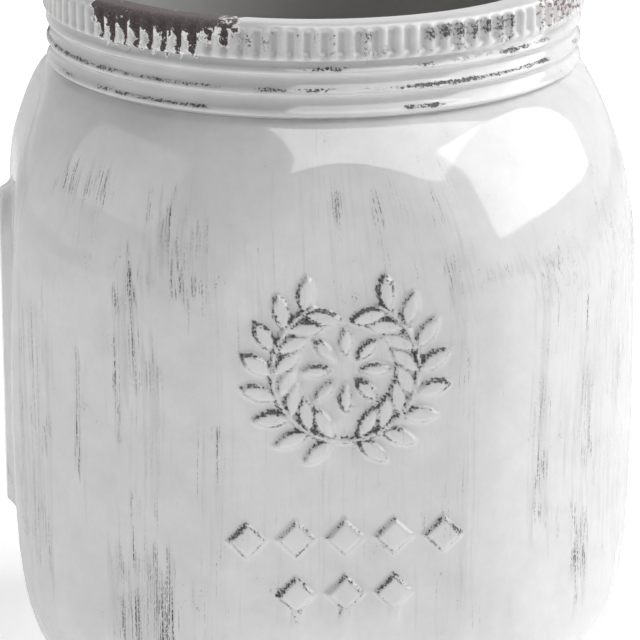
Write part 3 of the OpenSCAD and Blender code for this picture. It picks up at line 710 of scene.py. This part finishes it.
# Rubbed places on the body: angle from, angle to (degrees), height from, to (mm) and strength
RUBBED = (
    (-58, -43, 139, 144, 0.75), (-54, -44, 130, 139, 0.45), (-35, -30, 124, 139, 1.0),
    (-29, -24, 118, 135, 0.8), (-40, -36, 86, 124, 1.0), (-37, -32, 66, 106, 0.85),
    (-66, -56, 44, 110, 0.68), (-74, -66, 60, 132, 0.55), (-49.3, -47.8, 70, 102, 0.9),
    (-42, -30, 28, 56, 0.95), (-30, -24, 30, 50, 0.6), (-9, -4, 132, 151, 0.5),
    (-2, 10, 124, 150, 0.5), (-2, -0.8, 140, 144, 0.95), (5, 6.5, 137, 144, 0.85),
    (11, 20, 122, 148, 0.45), (20, 22.6, 20, 122, 0.6),
    (24, 40, 122.5, 123.5, 0.8), (16, 17.5, 130, 144, 0.75), (17.5, 19.5, 120, 134, 0.75),
    (34, 37, 60, 126, 0.85), (44.5, 48.5, 38, 96, 0.88),
    (34, 52, 60, 126, 0.58), (52, 70, 40, 130, 0.62), (-24.5, -21.5, 50, 92, 0.7),
    (-22, 22, 44, 130, 0.36), (74, 84, 50, 140, 0.7), (96, 108, 40, 120, 0.8),
    (112, 128, 60, 146, 0.75), (130, 137, 36, 128, 0.95), (140, 156, 100, 150, 0.7),
    (155, 159, 40, 120, 0.85), (168, 186, 44, 88, 0.62), (176, 192, 110, 150, 0.75),
    (201, 206, 30, 130, 0.9), (212, 232, 60, 140, 0.7), (236, 244, 40, 110, 0.9),
    (250, 266, 96, 146, 0.72), (272, 284, 36, 90, 0.7),
)
# Rubbed stretches of the rings: ring from the top, angle from, angle to, strength
RUBBED_RINGS = (
    (0, -15, 0, 0.55), (0, 16, 30, 0.5), (0, 34, 52, 0.66), (1, -66, -48, 0.6), (1, -48, -27, 0.85),
    (1, -16, -4, 0.66), (1, -4, 17, 0.62), (1, 17, 30, 1.0), (1, 32, 52, 0.92), (2, -74, -50, 0.55),
    (2, -50, -29, 0.85), (2, 14.5, 19.5, 0.82), (2, 30, 60, 0.3),
    (0, 80, 140, 0.7), (1, 70, 120, 0.6), (1, 135, 200, 0.95), (2, 100, 160, 0.5),
    (0, 190, 250, 0.75), (2, 205, 260, 0.9), (1, 240, 300, 0.8),
)
# Chipped patches of the rim: angle from, angle to, height from, to (mm) and strength
CHIPPED = ((-57, -29, 176.6, 182, 1.0), (-55, -30, 173, 177, 0.8), (-28, -22, 176.5, 181, 0.72),
           (-57, -26, 180.4, 182, 0.95), (118, 138, 175.5, 182, 0.95), (206, 216, 177, 182, 0.8))
# Rubbed ribs: angle from, angle to, height from, to (mm) and strength
RUBBED_RIBS = ((-22, 6, 174.3, 178.8, 0.55), (6, 16, 174.3, 176, 0.4), (19, 40, 177, 179, 0.92),
               (19, 38, 174, 175.6, 0.55), (84, 112, 175, 179, 0.8), (150, 180, 175, 179, 0.7),
               (230, 262, 175, 179, 0.9))
# Patches of pale speckles, with the same numbers
SPECKLED = ((50, 70, 175.5, 182, 1.05), (184, 202, 174, 182, 0.7))


def zone(angle, z, patch, soft_angle, soft_z):
    """Strength of a patch at a place, with ragged ends where the patch is tall."""
    start, end, low, high, strength = patch
    middle = (start + end) / 2
    angle = middle + (angle - middle + 180) % 360 - 180
    if high - low > 8:
        ragged = math.sin(angle * 1.9 + low) + 0.7 * math.sin(angle * 4.7 + high)
        low, high = low + 4 * ragged, high + 4 * math.cos(angle * 2.6 + low) + 2 * ragged
    return strength * hump(angle, start, end, soft_angle) * hump(z / MM, low, high, soft_z)


def paint_marks(jar, s, shapes):
    """Write where the glaze is rubbed, worn, chipped or speckled, and where shade is painted: in
    the flutes, between the rings, on the relief's upper-left flanks and inside.
    """
    skin = 2 * MM

    def outside(co):
        return co.z > 4 * MM and (
            math.hypot(co.x, co.y) > outer_radius(s, co.z) - skin
            or any(abs(co[axis]) > side_limit(s, axis, co[1 - axis], co.z) - skin
                   for axis in (0, 1)))

    def wear(co):
        if not outside(co) or co.z > s.neck_z:
            return 0
        return max(0.12, *(zone(angle_of(co), co.z, patch, 2, 4) for patch in RUBBED))

    def edge(co):
        if co.z > s.neck_z:
            angle = angle_of(co)
            best = 0
            for ring, start, end, strength in RUBBED_RINGS:
                crest = s.ring_z - ring * s.ring_pitch
                near = hump(co.z, crest + 0.55 * MM, crest + 1.1 * MM, 0.4 * MM)
                if near:
                    best = max(best, near * zone(angle, 0, (start, end, -1, 1, strength), 4, 1))
            on_rib = 1 - 0.4 * groove(co)
            best = max(best, *(on_rib * zone(angle, co.z, patch, 4, 1.6) for patch in RUBBED_RIBS))
            return best if math.hypot(co.x, co.y) > s.core_r - 1 * MM else 0
        if abs(co.x) < RELIEF_HALF and on_side(s, co, 1, -1, s.relief + 0.1 * MM):
            depth = max(shape(co.x, co.z) for shape in shapes)
            if depth < -1 * MM:
                return 0
            # Along the relief's outline the marks are wear, made heavier as painted shade on the
            # flanks that face up and left
            lower = max(shape(co.x + 0.5 * MM, co.z - 0.5 * MM) for shape in shapes)
            shade_up_left = 0.5 + 0.43 * ease((lower - depth) / (0.6 * MM) + 0.3)
            return shade_up_left * hump(depth, -0.2 * MM, 0.5 * MM, 0.35 * MM)
        return 0

    def chip(co):
        if co.z < s.band_z - 3 * MM or math.hypot(co.x, co.y) < s.mouth_r + 0.5 * MM:
            return 0
        low_on_rib = (1 - groove(co)) * ease((180.6 * MM - co.z) / (4.5 * MM))
        lost = max(zone(angle_of(co), co.z, patch, 2, 2.6) for patch in CHIPPED)
        return max(0, lost - 0.62 * low_on_rib)

    def speck(co):
        if co.z < s.neck_z or math.hypot(co.x, co.y) < s.mouth_r + 0.5 * MM:
            return 0
        return max(zone(angle_of(co), co.z, patch, 7, 4) for patch in SPECKLED)

    # Painted shade: grey in the flutes and in the valleys between the rings, heaviest 50 degrees
    # left of the front, away from the upper softbox
    def flute(co):
        out = math.hypot(co.x, co.y)
        if co.z < s.neck_z or out < s.core_r - 1 * MM:
            return 0
        shade_side = 0.15 + 0.85 * (0.5 + 0.5 * math.cos(math.radians(angle_of(co) + 50))) ** 2.5
        if co.z > s.band_z - 0.4 * MM:
            fade = ease((s.lip_z - 1.0 * MM - co.z) / (1.2 * MM)) * (out > s.band_r - 1.2 * MM)
            return (0.15 + 0.85 * shade_side) * groove(co) * fade
        above = (co.z - s.ring_z) % s.ring_pitch
        return 0.8 * shade_side * hump(above, 1.2 * MM, 3.4 * MM, 0.7 * MM)

    # Painted shade: the inner walls below the lip take the grey inside colour
    def inside(co):
        return 0 if outside(co) or co.z < 4 * MM else ease((s.lip_z - 1.2 * MM - co.z) / (1.2 * MM))

    for name, value in zip(MARKS, (wear, edge, chip, speck, flute, inside)):
        paint(jar, name, value)


class MakeJar(bpy.types.Operator):
    """Spin the jar, press its sides flat, cut its flutes and raise its relief and grips"""
    bl_idname = "jar_lantern.jar"
    bl_label = "Ceramic jar"

    def execute(self, context):
        s = context.scene.jar_sizes
        jar = spun("jar_ceramic", jar_section(s), 4 * RIBS)
        flatten_sides(jar, s)

        points = jar.data.vertices

        def round_the_band(e):
            ends = [points[i].co for i in e.vertices]
            return (abs(ends[0].z - ends[1].z) < 0.002 * MM and ends[0].z > s.band_z - 0.1 * MM
                    and all(math.hypot(p.x, p.y) > s.band_r - 1.6 * MM for p in ends))
        edit(jar, "EDGE", round_the_band, lambda: bpy.ops.mesh.subdivide(number_cuts=1))
        refine(jar, 1, -1, 40 * MM, 129 * MM, RELIEF_HALF, 11, 4, 1, s)
        for side in (-1, 1):
            refine(jar, 0, side, 40 * MM, 133 * MM, 24 * MM, 4, 1, 0, s)

        def flute(co):
            if co.z < s.band_z - 0.2 * MM or math.hypot(co.x, co.y) < s.band_r - 1.2 * MM:
                return 0
            open_low = 0.35 + 0.65 * ease((co.z - s.band_z - 0.7 * MM) / (1.1 * MM))
            return groove(co) * open_low * ease((s.lip_z - 0.7 * MM - co.z) / (1.1 * MM))
        swell(jar, flute, -s.rib)

        shapes = relief_shapes(s)

        def relief(co):
            if abs(co.x) > RELIEF_HALF or not on_side(s, co, 1, -1):
                return 0
            return rounded_edge(max(shape(co.x, co.z) for shape in shapes), 1.2 * MM)
        swell(jar, relief, s.relief)

        def grip(co):
            side = 1 if co.x > 0 else -1
            if abs(co.y) > s.grip_w / 2 + 1 * MM or not on_side(s, co, 0, side):
                return 0
            straight = (s.grip_h - s.grip_w) / 2
            dz = max(0, abs(co.z - s.grip_z) - straight)
            height = 1 - bow(s, co.z) / s.grip
            return height * rounded_edge(s.grip_w / 2 - math.hypot(dz, co.y), 2.6 * MM)
        swell(jar, grip, s.grip)

        paint_marks(jar, s, shapes)
        smooth(jar, 60)
        finish(jar, distressed_glaze(context.scene.jar_colours, s.corner_r))
        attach(jar, "jar")
        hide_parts("ceramic_jar")
        return {"FINISHED"}


class MakePads(bpy.types.Operator):
    """Give the felt pads their pressed wool"""
    bl_idname = "jar_lantern.pads"
    bl_label = "Felt pads"

    def execute(self, context):
        finish(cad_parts["felt_pads"], wool_felt())
        return {"FINISHED"}


class MakeShell(bpy.types.Operator):
    """Model the wax shell: spin its section and let its rim melt unevenly"""
    bl_idname = "jar_lantern.shell"
    bl_label = "Wax shell"

    def execute(self, context):
        c = context.scene.candle_sizes
        r = c.radius
        section = [(r - c.wall, c.low), (r - 0.5 * MM, c.low), (r, c.low + 0.6 * MM)]
        section += [(r, c.low + (c.rim - 3 * MM - c.low) * i / 24) for i in range(1, 25)]
        section += arc(r - 1.6 * MM, c.rim - 2.2 * MM, 1.6 * MM, 2.2 * MM, 0, 90, 6)[1:]
        section += [(r - 3.2 * MM, c.rim - 0.5 * MM), (r - 5.5 * MM, c.rim - 1.7 * MM)]
        dish_r = r - 3 * MM
        for share in (0.78, 0.66, 0.54, 0.42, 0.3, 0.22):
            section.append((dish_r * share, c.dish + (c.rim - c.dish) * share ** 2 * 0.95))
        section += [(c.hole + 0.4 * MM, c.dish + 0.1 * MM), (c.hole, c.dish - 0.3 * MM),
                    (c.hole, c.top), (r - c.wall - 1 * MM, c.top), (r - c.wall, c.top - 1 * MM),
                    (r - c.wall, c.low)]
        shell = spun("candle_wax_shell", section, 180)

        def uneven(co):
            if co.z < c.rim - 8 * MM or math.hypot(co.x, co.y) < r - 7 * MM:
                return 0
            turn = math.atan2(co.y, co.x)
            wave = (0.5 + 0.28 * math.sin(2 * turn + 0.7) + 0.17 * math.sin(5 * turn)
                    + 0.05 * math.sin(11 * turn))
            return ease((co.z - c.rim + 8 * MM) / (8 * MM)) * wave
        melted = {v.index: max(0, uneven(v.co)) for v in shell.data.vertices}
        displace(shell, melted, "Z", -2.4 * MM)
        smooth(shell, 45)
        finish(shell, paraffin(context.scene.candle_colours.wax))
        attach(shell, "candle")
        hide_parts("candle_shell")
        return {"FINISHED"}


class FinishCandle(bpy.types.Operator):
    """Give the candle's plastic, rubber and metal pieces their finishes"""
    bl_idname = "jar_lantern.candle_parts"
    bl_label = "Candle parts"

    def execute(self, context):
        c = context.scene.candle_colours
        white = moulded("white_abs_moulded", "E9E8E4", 0.42, 0.5)
        steel = moulded("zinc_plated_steel", "C9CACC", 0.3, 0.4, metallic=1.0)
        can = moulded("nickel_silver_drawn", "CDCDCB", 0.25, 0.3, metallic=1.0, stretch=(0.1, 1, 1))
        finishes = {
            "flame_lens": frosted_flame(c.flame),
            "led_lamp": moulded("epoxy_resin_cast", "F3EBC2", 0.08, 2.0, ior=1.54),
            "lamp_holder": white,
            "circuit_board": moulded("solder_mask_green", "1F5C38", 0.3, 0.6, ior=1.55, shift=0.35),
            "board_screws": steel,
            "timer_chip": moulded("epoxy_black_moulded", "202124", 0.55, 0.15, ior=1.55),
            "resistor": moulded("resistor_lacquer_dipped", "CBB07E", 0.25, 0.8),
            "timer_crystal": can,
            "candle_base": white,
            "base_screws": steel,
            "candle_feet": moulded("black_rubber_moulded", "1E1E1F", 0.75, 0.25, ior=1.52),
            "battery_cells": moulded("shrink_sleeve_pvc", "8E9094", 0.22, 6.0, ior=1.53),
            "battery_cover": moulded("white_abs_cover", "E4E3DF", 0.48, 0.45),
            "contact_bridge": moulded("nickel_plate_stamped", "C9C4BA", 0.28, 0.35, metallic=1.0),
            "contact_spring": moulded("nickel_plate_wound", "CAC6BE", 0.25, 0.35, metallic=1.0),
            "contact_button": moulded("nickel_plate_pressed", "C9C4BA", 0.26, 0.35, metallic=1.0),
            "wire_battery": moulded("pvc_red_extruded", "B3261E", 0.38, 0.4, ior=1.53),
            "wire_switched": moulded("pvc_red_extruded_2", "B3261E", 0.38, 0.4, ior=1.53),
            "wire_return": moulded("pvc_black_extruded", "232323", 0.38, 0.4, ior=1.53),
            "switch_body": moulded("tin_plated_steel_pressed", "C4C5C7", 0.3, 0.3, metallic=1.0),
            "switch_knob": moulded("grey_acetal_moulded", "4A4B4E", 0.5, 0.3),
        }
        for node, material in finishes.items():
            finish(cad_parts[node], material)
        return {"FINISHED"}


# The stage

def softbox(name, place, aim, width, height, radiance, gloss):
    """A rectangular lamp of a plain radiance, seen either by matt surfaces or in reflections."""
    put_down()
    bpy.ops.object.light_add(type="AREA", location=place)
    lamp = bpy.context.object
    lamp.name = name
    lamp.data.shape = "RECTANGLE"
    lamp.data.size = width
    lamp.data.size_y = height
    lamp.data.energy = radiance * math.pi * width * height
    away = [a - p for a, p in zip(aim, place)]
    flat = math.hypot(away[0], away[1])
    lamp.rotation_euler = (math.pi / 2 + math.atan2(away[2], flat), 0,
                           math.atan2(-away[0], away[1]))
    lamp.visible_glossy = gloss
    lamp.visible_diffuse = not gloss
    lamp.visible_camera = False


class MakeStage(bpy.types.Operator):
    """Set the floor, the camera, the softboxes and the surroundings"""
    bl_idname = "jar_lantern.stage"
    bl_label = "Stage"

    def execute(self, context):
        look = context.scene.stage_look
        put_down()
        bpy.ops.mesh.primitive_plane_add(size=6, location=(0, 0, -0.00005))
        floor = context.object
        floor.name = "floor"
        bpy.ops.object.transform_apply(location=True)
        material, tree, shader, place = new_material("matt_paper_floor")
        # The floor shows white further out than the lamps reach, and keeps the shadow round the jar
        ray = add(tree, "LightPath")
        away = add(tree, "VectorMath", {0: place}, operation="LENGTH").outputs["Value"]
        pale = add(tree, "MapRange", {"Value": away, "From Min": 0.1, "From Max": 1.0,
                                      "To Min": 0.5, "To Max": 0.95})
        glow = add(tree, "Math", {0: ray.outputs["Is Diffuse Ray"], 1: 0.52}, operation="MULTIPLY")
        for seen, strength in (("Is Glossy Ray", 0.3), ("Is Camera Ray", pale)):
            glow = add(tree, "Math", {0: ray.outputs[seen], 1: strength, 2: glow},
                       operation="MULTIPLY_ADD")
        connect(tree, shader, Base_Color=rgba(look.floor), Roughness=0.9,
                Emission_Color=WHITE, Emission_Strength=glow)
        finish(floor, material)

        world = bpy.data.worlds.new("studio")
        context.scene.world = world
        world.use_nodes = True
        tree = world.node_tree
        tree.nodes.clear()
        ray = add(tree, "LightPath")
        direct = ray.outputs["Is Camera Ray"]
        for seen in ("Is Glossy Ray", "Is Transmission Ray"):
            direct = add(tree, "Math", {0: direct, 1: ray.outputs[seen]}, operation="MAXIMUM")
        light = add(tree, "Background", {"Color": WHITE, "Strength": look.around})
        white = add(tree, "Background", {"Color": WHITE, "Strength": 1.0})
        both = add(tree, "MixShader", {0: direct, 1: light, 2: white})
        add(tree, "OutputWorld", {"Surface": both})

        # Three soft lights, and three panes that only the glaze reflects; radiance 1 shows white
        softbox("upper_light", (0.9, -0.05, 0.98), (0, 0, 0.12), 0.9, 0.9, look.key, False)
        softbox("right_light", (0.8, -0.6, 0.5), (0, 0, 0.1), 0.8, 0.7, look.side, False)
        softbox("left_strip", (-1.1, -0.2, 0.15), (0, 0, 0.1), 1.2, 0.25, look.low, False)
        softbox("right_glint", (0.704, -0.096, 0.49), (0.04, -0.06, 0.15), 0.8, 0.62, 4.6, True)
        softbox("top_glint", (0.4, -0.45, 1.08), (0.4, -0.05, 0.1), 1.2, 1.2, 4.0, True)
        softbox("left_glint", (-0.776, -0.132, 0.47), (-0.04, -0.06, 0.15), 0.7, 0.45, 1.0, True)

        # The camera stands 0.88 m off, turned 5.7 degrees about the jar, and looks down 17.45
        turn = math.radians(5.7)
        side, back, height = 0.00156, 0.884, 0.36875
        bpy.ops.object.camera_add(location=(side * math.cos(turn) - back * math.sin(turn),
                                            -side * math.sin(turn) - back * math.cos(turn), height),
                                  rotation=(math.radians(90 - 17.45), 0, -turn))
        camera = context.object
        camera.name = "camera"
        camera.data.lens = 208.7
        camera.data.sensor_width = 36
        camera.data.clip_end = 20
        context.scene.camera = camera
        context.scene.view_settings.view_transform = "Standard"
        return {"FINISHED"}


class JarLanternPanel(bpy.types.Panel):
    """Lists the pieces in the order in which they are made"""
    bl_idname = "VIEW3D_PT_jar_lantern"
    bl_label = "Jar Lantern"
    bl_space_type = "VIEW_3D"
    bl_region_type = "UI"
    bl_category = "Jar Lantern"

    def draw(self, context):
        for operator in STEPS:
            self.layout.operator(operator.bl_idname)
        for group in GROUPS:
            box = self.layout.box()
            settings = getattr(context.scene, group)
            for name in settings.__annotations__:
                box.prop(settings, name)


GROUPS = {"jar_sizes": JarSizes, "jar_colours": JarColours, "candle_sizes": CandleSizes,
          "candle_colours": CandleColours, "stage_look": StageLook}
STEPS = (MakeStage, MakeJar, MakePads, MakeShell, FinishCandle)
CLASSES = (*GROUPS.values(), *STEPS, JarLanternPanel)


def register():
    for made in CLASSES:
        bpy.utils.register_class(made)
    for name, group in GROUPS.items():
        setattr(bpy.types.Scene, name, bpy.props.PointerProperty(type=group))


def unregister():
    for name in GROUPS:
        delattr(bpy.types.Scene, name)
    for made in reversed(CLASSES):
        bpy.utils.unregister_class(made)


def main():
    register()
    bpy.ops.jar_lantern.stage()
    bpy.ops.jar_lantern.jar()
    bpy.ops.jar_lantern.pads()
    bpy.ops.jar_lantern.shell()
    bpy.ops.jar_lantern.candle_parts()


if __name__ == "__main__":
    main()
